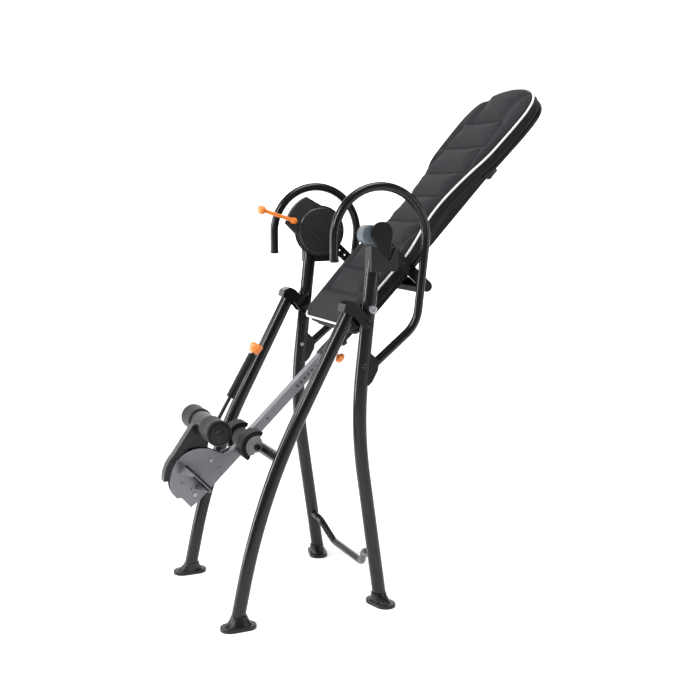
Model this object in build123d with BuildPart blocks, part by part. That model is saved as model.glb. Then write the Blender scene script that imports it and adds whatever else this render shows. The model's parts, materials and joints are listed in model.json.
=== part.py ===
"""Folding inversion table with a disc brake, a sliding boom and a ratchet ankle clamp.

+X is the user's right-hand side, +Y runs from the foot end to the head end and +Z is up.
Points are laid out from a datum on the floor, midway between the front and rear feet.
Each saved piece is shifted along Y so that the origin is under the middle of the whole table.
"""
import os
from math import cos, radians, sin

from build123d import *

os.makedirs("parts", exist_ok=True)

# ---------------------------------------------------------------- driving dimensions (mm)
CENTRE_Y = 312.8  # middle of the whole table, measured from the datum

LEG_X = 308.0  # centre plane of each side frame
LEG_R = 25.4  # 2 in round tube
LEG_WALL = 2.0
REAR_LEG = [(263.3, 1351.5), (190.8, 704.6), (289.0, 12.0)]  # (y, z) corners
REAR_LEG_BEND = 1500.0
FRONT_LEG = [(163.0, 1125.0), (-184.6, 468.6), (-281.6, 12.0)]
FRONT_LEG_BEND = 2300.0

FRONT_FOOT = (318.0, -279.0, 90.0)
REAR_FOOT = (314.0, 288.0, 14.0)
FOOT_LENGTH = 134.0
FOOT_WIDTH = 76.0
FOOT_HEIGHT = 14.0
FOOT_WAIST = 26.0
FOOT_COLLAR_TOP = 46.0

FOLD_PIVOT = (224.0, 1079.0)
FOLD_PIN_R = 5.0
BRACKET_GAP = 27.0  # half the width inside the hinge bracket
BRACKET_WALL = 3.0
RUNNING = 0.05  # radial clearance of every pin that turns or slides

PIVOT = (285.0, 1390.0)  # axis that the bed turns about
SHAFT_R = 8.0
BUSH_R = 12.0

HANDLE_R = 16.0
HANDLE_WALL = 1.5
HANDLE_ARC = (286.0, 1385.0, 184.0)  # centre y, centre z, radius

BED_ANGLE = 46.6  # incline of the pad
BED_EDGE = (190.0, 1055.0)  # front edge of the pad's top face
PAD_THICK = 50.0
BOARD_THICK = 12.0
BED_LENGTH = 1250.0

BOOM_ANGLE = 43.57
BOOM_ZERO = (-52.0, 691.0)  # lowest selector hole
BOOM_HALF = 19.0
BOOM_WALL = 2.0
BOOM_END = -300.0
BOOM_TOP = 640.0
BOOM_HOLES = 22
BOOM_HOLE_PITCH = 21.0
BOOM_FIRST_HOLE = 170.0
SLEEVE_HALF = 23.0
SLEEVE_BORE = 19.5
SLEEVE_START = 322.0
SLEEVE_END = 712.0
SELECTOR_AT = 371.0

ARM_IN = 264.0
ARM_OUT = 272.0
CROSS_AT = (480.0, 1199.0)  # bed cross tube
CROSS_HALF = 19.0

ANKLE_PIVOT = (-338.0, 38.0)  # (t, m): along the boom and square to it
PLATE_R = 115.0
PLATE_IN = 19.0
PLATE_OUT = 23.0
ROLLER_AT = (-178.0, 161.0)
ROLLER_R = 48.0
ROLLER_IN = 62.0
ROLLER_OUT = 177.0
CUP_AT = (-114.0, -6.0)
CUP_R = 60.5
CUP_BORE = 43.0
CUP_IN = 52.0
CUP_OUT = 118.0


# ---------------------------------------------------------------- planes and helpers
def side(x=0.0):
    """Upright plane at x, with local x along +Y and local y along +Z."""
    return Plane.YZ.offset(x)


def boom_side(x=0.0):
    """Plane at x with local x along the boom (t) and local y square to it (m)."""
    slope = radians(BOOM_ANGLE)
    return Plane(
        origin=(x, BOOM_ZERO[0], BOOM_ZERO[1]),
        x_dir=(0, cos(slope), sin(slope)),
        z_dir=(1, 0, 0),
    )


def boom_across(t, m=0.0):
    """Plane square to the boom at t, with local x along +X and local y along m."""
    slope = radians(BOOM_ANGLE)
    return Plane(
        origin=boom_point(t, m),
        x_dir=(1, 0, 0),
        z_dir=(0, -cos(slope), -sin(slope)),
    )


def boom_point(t, m, x=0.0):
    """Point in the row frame from boom coordinates."""
    return boom_side().from_local_coords(Vector(t, m, x))


def bed_side(x=0.0):
    """Plane at x with local x up the pad (s) and local y out of its top face."""
    slope = radians(BED_ANGLE)
    return Plane(
        origin=(x, BED_EDGE[0], BED_EDGE[1]),
        x_dir=(0, cos(slope), sin(slope)),
        z_dir=(1, 0, 0),
    )


def bed_face(depth):
    """Plane parallel to the pad's top face, at a depth below it."""
    slope = radians(BED_ANGLE)
    face = Plane(
        origin=(0, BED_EDGE[0], BED_EDGE[1]),
        x_dir=(1, 0, 0),
        z_dir=(0, -sin(slope), cos(slope)),
    )
    return face.offset(-depth)


def polar(centre, radius, angle):
    """Point at an angle in degrees and a radius from a centre."""
    turn = radians(angle)
    return (centre[0] + radius * cos(turn), centre[1] + radius * sin(turn))


def save(piece, name):
    """Writes one piece, with the origin under the middle of the table."""
    moved = piece.moved(Location((0, -CENTRE_Y, 0)))
    moved.label = name
    export_step(moved, f"parts/{name}.step")


def save_pair(piece, name):
    """Writes a right-hand piece and its mirrored left-hand twin."""
    save(piece, name + "_right")
    save(mirror(piece, about=Plane.YZ), name + "_left")


def sweep_tube(points, radii, outer, wall=0.0):
    """Round tube along straight runs joined by arcs."""
    with BuildLine() as route:
        if radii:
            FilletPolyline(*points, radius=radii)
        else:
            Polyline(*points)
    start = route.wire() @ 0
    with BuildSketch(Plane(origin=start, z_dir=route.wire() % 0)) as ring:
        Circle(outer)
        if wall:
            Circle(outer - wall, mode=Mode.SUBTRACT)
    sweep(ring.sketch, path=route.wire())


def rod_x(plane_point, radius, x_from, x_to, mode=Mode.ADD):
    """Round rod along X through a (y, z) point."""
    with BuildSketch(side(x_from)) as disc:
        with Locations(plane_point):
            Circle(radius)
    extrude(disc.sketch, amount=x_to - x_from, mode=mode)


def boom_rod(at, radius, x_from, x_to, mode=Mode.ADD):
    """Round rod along X through a (t, m) point of the boom frame."""
    with BuildSketch(boom_side(x_from)) as disc:
        with Locations(at):
            Circle(radius)
    extrude(disc.sketch, amount=x_to - x_from, mode=mode)


def through_bolt(at, plane_at, shank, head, x_from, x_to, head_height=4.0):
    """Bolt along X with a round head at each end; plane_at makes the drawing plane."""
    for x_start, radius, length in (
        (x_from, shank, x_to - x_from),
        (x_to, head, head_height),
        (x_from - head_height, head, head_height),
    ):
        with BuildSketch(plane_at(x_start)) as disc:
            with Locations(at):
                Circle(radius)
        extrude(disc.sketch, amount=length)


def leg_points(corners, x):
    """Corner points of a leg in its own side plane."""
    return [(x, y, z) for y, z in corners]


# ---------------------------------------------------------------- rear frame
with BuildPart() as rear_leg_core:
    sweep_tube(leg_points(REAR_LEG, LEG_X), [REAR_LEG_BEND], LEG_R)

with BuildPart() as front_leg_core:
    sweep_tube(leg_points(FRONT_LEG, LEG_X), [FRONT_LEG_BEND], LEG_R)

SADDLE_BOLT = (209.0, 924.0)
LOCK_AT = (237.0, 1131.0)
LOCK_HOLE_R = 4.1

with BuildPart() as rear_leg:
    sweep_tube(leg_points(REAR_LEG, LEG_X), [REAR_LEG_BEND], LEG_R, LEG_WALL)
    rod_x(FOLD_PIVOT, FOLD_PIN_R, LEG_X - 40, LEG_X + 40, Mode.SUBTRACT)
    rod_x(SADDLE_BOLT, 4.0, LEG_X - 40, LEG_X + 40, Mode.SUBTRACT)
    rod_x(LOCK_AT, LOCK_HOLE_R, LEG_X - 40, LEG_X + 40, Mode.SUBTRACT)
save_pair(rear_leg.part, "rear_leg")

with BuildPart() as front_leg:
    sweep_tube(leg_points(FRONT_LEG, LEG_X), [FRONT_LEG_BEND], LEG_R, LEG_WALL)
save_pair(front_leg.part, "front_leg")


def foot_at(sole, waist_y, collar_y, leg_core):
    """Moulded foot with an oval sole and a flared collar around one leg."""
    with BuildPart() as foot:
        with BuildSketch(Plane.XY):
            with Locations((sole[0], sole[1])):
                SlotOverall(FOOT_LENGTH, FOOT_WIDTH, rotation=sole[2])
        extrude(amount=FOOT_HEIGHT)
        fillet(foot.edges().group_by(Axis.Z)[-1], radius=4)
        with BuildSketch(Plane.XY.offset(FOOT_HEIGHT - 2)) as base:
            with Locations((sole[0], sole[1])):
                Ellipse(56, 33, rotation=sole[2])
        with BuildSketch(Plane.XY.offset(FOOT_WAIST)) as waist:
            with Locations(((LEG_X + sole[0]) / 2, waist_y)):
                Ellipse(40, 30, rotation=sole[2])
        with BuildSketch(Plane.XY.offset(FOOT_COLLAR_TOP)) as top:
            with Locations((LEG_X, collar_y)):
                Circle(LEG_R + 3.5)
        loft(sections=[base.sketch, waist.sketch, top.sketch])
        add(leg_core, mode=Mode.SUBTRACT)
    return foot.part


def both_sides(piece):
    """A right-hand piece together with its mirrored twin, as one group."""
    with BuildPart() as pair:
        add(piece)
        mirror(about=Plane.YZ)
    return pair.part


save(both_sides(foot_at(REAR_FOOT, 284.4, 282.2, rear_leg_core.part)), "rear_feet")
save(both_sides(foot_at(FRONT_FOOT, -275.2, -272.3, front_leg_core.part)), "front_feet")

CROSSBAR_R = 14.0
REAR_CROSSBAR_END = (262.0, 187.0)
REAR_CROSSBAR_MID = (290.0, 110.0)

with BuildPart() as rear_crossbar:
    crossbar_route = [
        (LEG_X, *REAR_CROSSBAR_END),
        (225, *REAR_CROSSBAR_END),
        (140, *REAR_CROSSBAR_MID),
        (-140, *REAR_CROSSBAR_MID),
        (-225, *REAR_CROSSBAR_END),
        (-LEG_X, *REAR_CROSSBAR_END),
    ]
    sweep_tube(crossbar_route, [60] * 4, CROSSBAR_R, 1.5)
    add(rear_leg_core.part, mode=Mode.SUBTRACT)
    add(mirror(rear_leg_core.part, about=Plane.YZ), mode=Mode.SUBTRACT)
rear_crossbar_tube = rear_crossbar.part.solids().sort_by(SortBy.VOLUME)[-1]
save(rear_crossbar_tube, "rear_crossbar")

# ---------------------------------------------------------------- handlebars
LEAN = 6.4  # backward lean of the posts and of the handlebar's rear run
HANDLE_FRONT_END = (102.0, 1312.0)
HANDLE_REAR_CORNER = (435.2, 1064.0)
HANDLE_LOW_END = (243.0, 910.0)
HANDLE_BEND = 134.0


def handle_tube(outer, wall=0.0):
    """Handlebar: free front end, half circle over the pivot and a rear run to the post."""
    y, z, radius = HANDLE_ARC
    rear = polar((y, z), radius, -LEAN)
    corner = HANDLE_REAR_CORNER
    low = HANDLE_LOW_END
    with BuildLine() as route:
        Line((LEG_X, *HANDLE_FRONT_END), (LEG_X, y - radius, z))
        ThreePointArc((LEG_X, y - radius, z), (LEG_X, y, z + radius), (LEG_X, *rear))
        FilletPolyline((LEG_X, *rear), (LEG_X, *corner), (LEG_X, *low), radius=[HANDLE_BEND])
    start = route.wire() @ 0
    with BuildSketch(Plane(origin=start, z_dir=route.wire() % 0)) as ring:
        Circle(outer)
        if wall:
            Circle(outer - wall, mode=Mode.SUBTRACT)
    sweep(ring.sketch, path=route.wire())


with BuildPart() as handle_core:
    handle_tube(HANDLE_R)

with BuildPart() as handlebar:
    handle_tube(HANDLE_R, HANDLE_WALL)
    add(rear_leg_core.part, mode=Mode.SUBTRACT)
save_pair(handlebar.part.solids().sort_by(SortBy.VOLUME)[-1], "handlebar")

with BuildPart() as handle_cap:
    y_end, z_end = HANDLE_FRONT_END
    with BuildSketch(Plane((LEG_X, y_end, z_end), z_dir=(0, 0, -1))):
        Circle(HANDLE_R + 1)
    extrude(amount=12)
    fillet(handle_cap.edges().group_by(Axis.Z)[0], radius=6)
save(both_sides(handle_cap.part), "handle_end_caps")

SADDLE_OUTLINE = [(238, 968), (272, 938), (266, 902), (244, 862), (229, 848), (205, 880), (205, 960)]

with BuildPart() as saddle:
    with BuildSketch(side(LEG_X)):
        Polygon(*SADDLE_OUTLINE, align=None)
    extrude(amount=21, both=True)
    add(rear_leg_core.part, mode=Mode.SUBTRACT)
    add(handle_core.part, mode=Mode.SUBTRACT)
    saddle_body = saddle.part.solids().sort_by(SortBy.VOLUME)[-1]
save(both_sides(saddle_body), "handle_saddles")

with BuildPart() as saddle_bolt:
    through_bolt(SADDLE_BOLT, side, 4.0, 8.0, LEG_X - LEG_R, LEG_X + LEG_R)
save(both_sides(saddle_bolt.part), "saddle_bolts")

# ---------------------------------------------------------------- pivot heads on the posts
HEAD_IN = 284.0
HEAD_OUT = 333.0
HEAD_FLOOR = 1352.0
HEAD_NOSE = (237.0, 1397.0)
HEAD_NOSE_R = 36.0
HEAD_EYE_R = 34.0

with BuildPart() as pivot_head:
    with BuildSketch(side(HEAD_IN)):
        with Locations(HEAD_NOSE):
            Circle(HEAD_NOSE_R)
        with Locations(PIVOT):
            Circle(HEAD_EYE_R)
        make_hull()
        with Locations((PIVOT[0], HEAD_FLOOR - 50)):
            Rectangle(300, 100, mode=Mode.SUBTRACT)
    extrude(amount=HEAD_OUT - HEAD_IN)
    fillet(pivot_head.faces().sort_by(Axis.X)[-1].edges().filter_by(GeomType.CIRCLE), radius=8)
    rod_x(PIVOT, BUSH_R, HEAD_IN - 1, HEAD_OUT + 1, Mode.SUBTRACT)
save(both_sides(pivot_head.part), "pivot_heads")

with BuildPart() as bushing:
    rod_x(PIVOT, BUSH_R, HEAD_IN, HEAD_OUT)
    rod_x(PIVOT, SHAFT_R + RUNNING, HEAD_IN, HEAD_OUT, Mode.SUBTRACT)
save(both_sides(bushing.part), "pivot_bushings")

CRADLE_OUTLINE = [(234, 1264), (342, 1264), (342, 1351), (234, 1351)]
CRADLE_NOTCH = [(281, 1352), (331, 1352), (309, 1305), (300, 1305)]
CRADLE_OUT = 339.0

with BuildPart() as cradle:
    with BuildSketch(side(HEAD_IN)):
        Polygon(*CRADLE_OUTLINE, align=None)
    extrude(amount=CRADLE_OUT - HEAD_IN)
    fillet(cradle.edges().filter_by(Axis.X).group_by(Axis.Y)[-1], radius=10)
    with BuildSketch(side(HEAD_OUT)):
        Polygon(*CRADLE_NOTCH, align=None)
    extrude(amount=20, mode=Mode.SUBTRACT)
    add(rear_leg_core.part, mode=Mode.SUBTRACT)
cradle_body = cradle.part.solids().sort_by(SortBy.VOLUME)[-1]
save(both_sides(cradle_body), "pivot_cradles")

COVER_AT = (276.0, 1402.0)
COVER_R = 42.0
COVER_TAIL = (300.0, 1320.0)

with BuildPart() as hub_cover:
    with BuildSketch(side(HEAD_OUT)):
        with Locations(COVER_AT):
            Circle(COVER_R)
        with Locations(COVER_TAIL):
            Circle(7)
        make_hull()
    extrude(amount=12)
    fillet(hub_cover.faces().sort_by(Axis.X)[-1].edges(), radius=3)
    add(cradle_body, mode=Mode.SUBTRACT)
save(both_sides(hub_cover.part.solids().sort_by(SortBy.VOLUME)[-1]), "hub_covers")

# ---------------------------------------------------------------- fold hinge and its lock
with BuildPart() as fold_pin:
    reach = BRACKET_GAP + BRACKET_WALL + 0.5
    through_bolt(FOLD_PIVOT, side, FOLD_PIN_R, 11.0, LEG_X - reach, LEG_X + reach, 4.5)
save(both_sides(fold_pin.part), "fold_pins")

HINGE_OUTLINE = [
    (126, 1126),
    (134, 1152),
    (158, 1162),
    (181, 1152),
    (238, 1090),
    (242, 1070),
    (224, 1056),
    (205, 1062),
    (170, 1104),
    (146, 1116),
]
LOCK_EAR = [(206, 1090), (216, 1142), (228, 1150), (250, 1146), (252, 1120), (240, 1092), (234, 1090)]
HINGE_OPENINGS = [
    [(202, 1010), (202, 1140), (300, 1140), (300, 1010)],
    [(120, 1050), (120, 1121), (148, 1121), (174, 1109), (209, 1067), (230, 1040)],
]

with BuildPart() as hinge_bracket:
    with BuildSketch(side(LEG_X)):
        Polygon(*HINGE_OUTLINE, align=None)
    extrude(amount=BRACKET_GAP + BRACKET_WALL, both=True)
    with BuildSketch(side(LEG_X)):
        Polygon(*HINGE_OUTLINE, align=None)
        offset(amount=-BRACKET_WALL)
    extrude(amount=BRACKET_GAP, both=True, mode=Mode.SUBTRACT)
    for opening in HINGE_OPENINGS:
        with BuildSketch(side(LEG_X)):
            Polygon(*opening, align=None)
        extrude(amount=BRACKET_GAP, both=True, mode=Mode.SUBTRACT)
    rod_x(FOLD_PIVOT, FOLD_PIN_R + RUNNING, LEG_X - 40, LEG_X + 40, Mode.SUBTRACT)
    add(front_leg_core.part, mode=Mode.SUBTRACT)
    with BuildSketch(side(LEG_X - BRACKET_GAP - BRACKET_WALL)):
        Polygon(*LOCK_EAR, align=None)
        with Locations(LOCK_AT):
            Circle(LOCK_HOLE_R + RUNNING, mode=Mode.SUBTRACT)
    extrude(amount=BRACKET_WALL)
hinge_body = hinge_bracket.part.solids().sort_by(SortBy.VOLUME)[-1]
save_pair(hinge_body, "hinge_bracket")

LOCK_PLATE_X = LEG_X + LEG_R - 3.0

with BuildPart() as lock_barrel:
    rod_x(LOCK_AT, 10.0, LOCK_PLATE_X, LEG_X + LEG_R + 8)
    rod_x(LOCK_AT, LOCK_HOLE_R, LOCK_PLATE_X - 1, LEG_X + LEG_R + 9, Mode.SUBTRACT)
    add(rear_leg_core.part, mode=Mode.SUBTRACT)
save(both_sides(lock_barrel.part), "lock_barrels")

with BuildPart() as lock_knob:
    rod_x(LOCK_AT, LOCK_HOLE_R - RUNNING, LEG_X - LEG_R - 1.3, LEG_X + LEG_R + 10)
    rod_x(LOCK_AT, 16.0, LEG_X + LEG_R + 8.3, LEG_X + LEG_R + 18)
    fillet(lock_knob.faces().sort_by(Axis.X)[-1].edges(), radius=3)
save_pair(lock_knob.part, "lock_knob")

# ---------------------------------------------------------------- front frame
FRONT_BAR_R = 21.0
BOOM_REST = 3.0
REST_GAP = 0.4
front_bar_t = -100.0
front_bar_m = -(BOOM_HALF + REST_GAP + BOOM_REST + FRONT_BAR_R)
front_bar = boom_point(front_bar_t, front_bar_m)
FRONT_BAR_AT = (front_bar.Y, front_bar.Z)

with BuildPart() as front_crossbar:
    rod_x(FRONT_BAR_AT, FRONT_BAR_R, -LEG_X, LEG_X)
    rod_x(FRONT_BAR_AT, FRONT_BAR_R - 2.0, -LEG_X, LEG_X, Mode.SUBTRACT)
    add(front_leg_core.part, mode=Mode.SUBTRACT)
    add(mirror(front_leg_core.part, about=Plane.YZ), mode=Mode.SUBTRACT)
save(front_crossbar.part.solids().sort_by(SortBy.VOLUME)[-1], "front_crossbar")

with BuildPart() as boom_rest:
    with BuildSketch(boom_side(-35)):
        with Locations((front_bar_t, front_bar_m + FRONT_BAR_R - 6)):
            Rectangle(34, 2 * (6 + BOOM_REST))
        with Locations((front_bar_t, front_bar_m)):
            Circle(FRONT_BAR_R, mode=Mode.SUBTRACT)
    extrude(amount=70)
save(boom_rest.part.solids().sort_by(SortBy.VOLUME)[-1], "boom_rest")

# ---------------------------------------------------------------- disc brake on the left post
COVER_FACE = -261.0
BACKING_FACE = -282.4
DISC_R = 80.0
BRAKE_R = 104.0
LOBE_R = 150.0


def brake_outline():
    """Round drum outline with a forward lobe that holds the caliper and the lever."""
    with Locations(PIVOT):
        Circle(BRAKE_R)
    with BuildLine() as lobe:
        low = polar(PIVOT, LOBE_R, 168)
        mid = polar(PIVOT, LOBE_R, 143)
        high = polar(PIVOT, LOBE_R, 113)
        ThreePointArc(low, mid, high)
        Polyline(high, polar(PIVOT, BRAKE_R - 1, 86), PIVOT, polar(PIVOT, BRAKE_R - 1, 187), low)
    make_face(lobe.edges())


RIM_SPAN = (-27.0, 158.0)  # the rim is open below, where the pivot arm swings
RIM_WALL = 3.0

with BuildPart() as brake_cover:
    with BuildSketch(side(COVER_FACE)):
        brake_outline()
    extrude(amount=3)
    with BuildSketch(side(COVER_FACE + 3)):
        with Locations(PIVOT):
            Circle(BRAKE_R - 9)
    extrude(amount=5, taper=40)
    with BuildSketch(side(BACKING_FACE + 2)):
        brake_outline()
        offset(amount=-RIM_WALL, mode=Mode.SUBTRACT)
        with BuildLine():
            start = polar(PIVOT, 400, RIM_SPAN[0])
            end = polar(PIVOT, 400, RIM_SPAN[1])
            Polyline(PIVOT, start, (PIVOT[0] + 400, PIVOT[1] - 600), (PIVOT[0] - 500, PIVOT[1] - 600), end, PIVOT)
        make_face(mode=Mode.SUBTRACT)
    extrude(amount=COVER_FACE - BACKING_FACE - 2)
save(brake_cover.part, "brake_cover")

with BuildPart() as brake_backing:
    with BuildSketch(side(BACKING_FACE)):
        brake_outline()
        with Locations(PIVOT):
            Circle(21, mode=Mode.SUBTRACT)
    extrude(amount=2)
save(brake_backing.part, "brake_backing_plate")

CALIPER_ANGLE = 143.0
CALIPER_DEPTH = 7.4
DISC_IN = -278.8
DISC_OUT = -275.8
caliper_plane = Plane(
    origin=(DISC_IN - 1.4, *polar(PIVOT, 80, CALIPER_ANGLE)),
    x_dir=(0, cos(radians(CALIPER_ANGLE)), sin(radians(CALIPER_ANGLE))),
    z_dir=(1, 0, 0),
)

with BuildPart() as brake_caliper:
    with BuildSketch(caliper_plane):
        Rectangle(36, 40)
    extrude(amount=CALIPER_DEPTH)
    fillet(brake_caliper.edges().filter_by(Axis.X), radius=5)
    with BuildSketch(caliper_plane.offset(0.9)):
        with Locations((-12, 0)):
            Rectangle(34, 60)
    extrude(amount=4.6, mode=Mode.SUBTRACT)
save(brake_caliper.part, "brake_caliper")

with BuildPart() as brake_pads:
    for start, thick in ((1.1, 0.25), (4.45, 1.0)):
        with BuildSketch(caliper_plane.offset(start)):
            with Locations((-7, 0)):
                Rectangle(16, 26)
        extrude(amount=thick)
save(brake_pads.part, "brake_pads")

LEVER_PIVOT = (164.0, 1434.0)
LEVER_TIP = (28.0, 1478.0)
LEVER_IN = -256.0
LEVER_R = 8.0

with BuildPart() as brake_lever:
    lever_x = LEVER_IN + LEVER_R
    rod_x(LEVER_PIVOT, 13.0, LEVER_IN, LEVER_IN + 2 * LEVER_R)
    with BuildLine() as lever_line:
        Line((lever_x, *LEVER_PIVOT), (lever_x, *LEVER_TIP))
    lever_wire = lever_line.wire()
    with BuildSketch(Plane(origin=lever_wire @ 0, z_dir=lever_wire % 0)):
        Circle(LEVER_R)
    sweep(path=lever_wire)
    with Locations((lever_x, *LEVER_TIP)):
        Sphere(18)
    rod_x(LEVER_PIVOT, 5.0 + RUNNING, LEVER_IN - 1, LEVER_IN + 2 * LEVER_R + 1, Mode.SUBTRACT)
save(brake_lever.part, "brake_lever")

with BuildPart() as lever_pin:
    rod_x(LEVER_PIVOT, 5.0, COVER_FACE + 3, LEVER_IN + 2 * LEVER_R + 1)
    rod_x(LEVER_PIVOT, 8.0, LEVER_IN + 2 * LEVER_R + 1, LEVER_IN + 2 * LEVER_R + 4)
save(lever_pin.part, "brake_lever_pin")

with BuildPart() as brake_disc:
    rod_x(PIVOT, DISC_R, DISC_IN, DISC_OUT)
    with BuildSketch(side(DISC_IN)):
        with Locations(PIVOT):
            Circle(12)
            with PolarLocations(45, 6):
                Circle(11)
    extrude(amount=DISC_OUT - DISC_IN, mode=Mode.SUBTRACT)
save(brake_disc.part, "brake_disc")

# ---------------------------------------------------------------- bed
ARM_TIP = (497.0, 1198.0)
ARM_HALF = 21.0
ARM_BOLTS = [(480.0, 1199.0), (462.0, 1216.0)]


def arm_outline():
    """Flat pivot arm with round ends."""
    for end in (PIVOT, ARM_TIP):
        with Locations(end):
            Circle(ARM_HALF)
    make_hull()


with BuildPart() as pivot_arm:
    with BuildSketch(side(ARM_IN)):
        arm_outline()
    extrude(amount=ARM_OUT - ARM_IN)
    rod_x(PIVOT, 12.0, ARM_IN - 1, ARM_OUT + 1, Mode.SUBTRACT)
    rod_x(ARM_BOLTS[0], 4.0, ARM_IN - 1, ARM_OUT + 1, Mode.SUBTRACT)
    for reach in (60, 90, 120):
        rod_x(polar(PIVOT, reach + 60, -42.2), 4.0, ARM_IN - 1, ARM_OUT + 1, Mode.SUBTRACT)
save_pair(pivot_arm.part, "pivot_arm")


def shaft(collar_end):
    """Stepped pivot shaft: a boss in the arm, a collar beside it and a journal in the bush."""
    with BuildPart() as turned:
        rod_x(PIVOT, 12.0, ARM_IN, collar_end)
        rod_x(PIVOT, SHAFT_R, collar_end, HEAD_OUT - 1)
        rod_x(PIVOT, 18.0, ARM_IN - 2, ARM_IN)
    return turned.part


with BuildPart() as pivot_shafts:
    add(shaft(HEAD_IN - 0.5))
    mirror(about=Plane.YZ)
save(pivot_shafts.part, "pivot_shafts")

with BuildPart() as cross_tube:
    with BuildSketch(bed_side(-ARM_IN)):
        local = bed_side().to_local_coords(Vector(0, *CROSS_AT))
        with Locations((local.X, local.Y)):
            Rectangle(2 * CROSS_HALF, 2 * CROSS_HALF)
            Rectangle(2 * CROSS_HALF - 4, 2 * CROSS_HALF - 4, mode=Mode.SUBTRACT)
    extrude(amount=2 * ARM_IN)
save(cross_tube.part, "bed_cross_tube")
CROSS_DEPTH = -local.Y

with BuildPart() as arm_bolt:
    rod_x(ARM_BOLTS[0], 4.0, ARM_IN, ARM_OUT)
    rod_x(ARM_BOLTS[0], 8.0, ARM_OUT, ARM_OUT + 5)
save(both_sides(arm_bolt.part), "arm_bolts")

HALF_WIDTH = [(350, 225), (420, 203), (510, 166), (600, 148), (690, 158), (780, 184), (860, 219)]
SHOULDER = [(925, 227), (1075, 236)]
CROWN = [(1165, 209), (1222, 140)]


def bed_outline(inset):
    """Pad outline: square hips, narrow waist and a round head end."""

    def at(s, width):
        return (width - inset, s)

    corner = 42.0
    with BuildLine() as rim:
        Line((0, inset), (214 - corner, inset))
        TangentArc(
            (214 - corner, inset),
            (214 - inset, inset + corner),
            tangent=(1, 0),
        )
        Line((214 - inset, inset + corner), at(*HALF_WIDTH[0]))
        Spline(
            *[at(*point) for point in HALF_WIDTH + SHOULDER + CROWN],
            (0, BED_LENGTH - inset),
            tangents=[(0.03, 1), (-1, 0)],
        )
        mirror(about=Plane.YZ)
    make_face(rim.edges())


PAD_LAYERS = [(PAD_THICK, 12.0, 6.0), (12.0, 2.0, 13.0), (2.0, -7.0, 24.0), (-7.0, -15.0, 42.0)]

with BuildPart() as pad:
    for start, end, inset in PAD_LAYERS:
        with BuildSketch(bed_face(start)):
            bed_outline(inset)
        extrude(amount=start - end)
save(pad.part, "pad")

with BuildPart() as backboard:
    with BuildSketch(bed_face(PAD_THICK + BOARD_THICK)):
        bed_outline(9.0)
    extrude(amount=BOARD_THICK)
    with BuildSketch(bed_face(PAD_THICK + BOARD_THICK + 8)):
        for x_rib in (-60, 60):
            with Locations((x_rib, 640)):
                Rectangle(10, 1040)
        for s_rib in (180, 460, 740, 1020):
            with Locations((0, s_rib)):
                Rectangle(200, 10)
    extrude(amount=8)
save(backboard.part, "backboard")

RAIL_X = 118.0
RAIL_WIDTH = 24.0
RAIL_TOP = PAD_THICK + BOARD_THICK
RAIL_DEEP = CROSS_DEPTH - CROSS_HALF - RAIL_TOP

with BuildPart() as bed_rails:
    with BuildSketch(bed_face(RAIL_TOP + RAIL_DEEP)):
        with Locations((RAIL_X, 620), (-RAIL_X, 620)):
            Rectangle(RAIL_WIDTH, 1020)
            Rectangle(RAIL_WIDTH - 4, 1016, mode=Mode.SUBTRACT)
    extrude(amount=RAIL_DEEP)
    with BuildSketch(bed_face(RAIL_TOP + RAIL_DEEP)):
        with Locations((RAIL_X, 620), (-RAIL_X, 620)):
            Rectangle(RAIL_WIDTH, 1020)
    extrude(amount=2)
save(bed_rails.part, "bed_rails")

with BuildPart() as boom_sleeve:
    with BuildSketch(boom_across(SLEEVE_START)):
        RectangleRounded(2 * SLEEVE_HALF, 2 * SLEEVE_HALF, 4)
        RectangleRounded(2 * SLEEVE_BORE, 2 * SLEEVE_BORE, 2, mode=Mode.SUBTRACT)
    extrude(amount=-(SLEEVE_END - SLEEVE_START))
    with BuildSketch(boom_side()):
        with Locations((SELECTOR_AT, -SLEEVE_HALF)):
            Rectangle(8.2, 12)
    extrude(amount=4.1, both=True, mode=Mode.SUBTRACT)
save(boom_sleeve.part, "boom_sleeve")

with BuildPart() as sleeve_core:
    with BuildSketch(boom_across(SLEEVE_START)):
        RectangleRounded(2 * SLEEVE_HALF, 2 * SLEEVE_HALF, 4)
    extrude(amount=-(SLEEVE_END - SLEEVE_START))

with BuildPart() as sleeve_hanger:
    with BuildSketch(bed_face(RAIL_TOP + 44)):
        with Locations((0, 70)):
            Rectangle(2 * (RAIL_X - RAIL_WIDTH / 2), 70)
    extrude(amount=44)
    with BuildSketch(bed_face(RAIL_TOP + 45)):
        for sign in (-1, 1):
            with Locations((sign * 72, 70)):
                Rectangle(72, 80)
    extrude(amount=33, mode=Mode.SUBTRACT)
    add(sleeve_core.part, mode=Mode.SUBTRACT)
    add(backboard.part, mode=Mode.SUBTRACT)
save(sleeve_hanger.part.solids().sort_by(SortBy.VOLUME)[-1], "sleeve_hanger")

with BuildPart() as knob_barrel:
    with BuildSketch(Plane(boom_point(SELECTOR_AT, -SLEEVE_HALF), z_dir=-boom_side().y_dir)):
        Circle(10)
        Circle(4.1, mode=Mode.SUBTRACT)
    extrude(amount=14)
save(knob_barrel.part, "selector_barrel")

with BuildPart() as selector_knob:
    down = -boom_side().y_dir
    with BuildSketch(Plane(boom_point(SELECTOR_AT, -BOOM_HALF - 0.9), z_dir=down)):
        Circle(4.05)
    extrude(amount=28)
    for step in (-11, 11):
        with Locations(boom_point(SELECTOR_AT + step, -SLEEVE_HALF - 14 - 16)):
            Sphere(13.5)
save(selector_knob.part, "selector_knob")

# ---------------------------------------------------------------- boom
BOLT_R = 4.0
PLATE_BOLTS = [(-262.0, 57.0), (-263.0, 7.0), (-351.0, 140.0), (-396.0, 10.0)]

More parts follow.
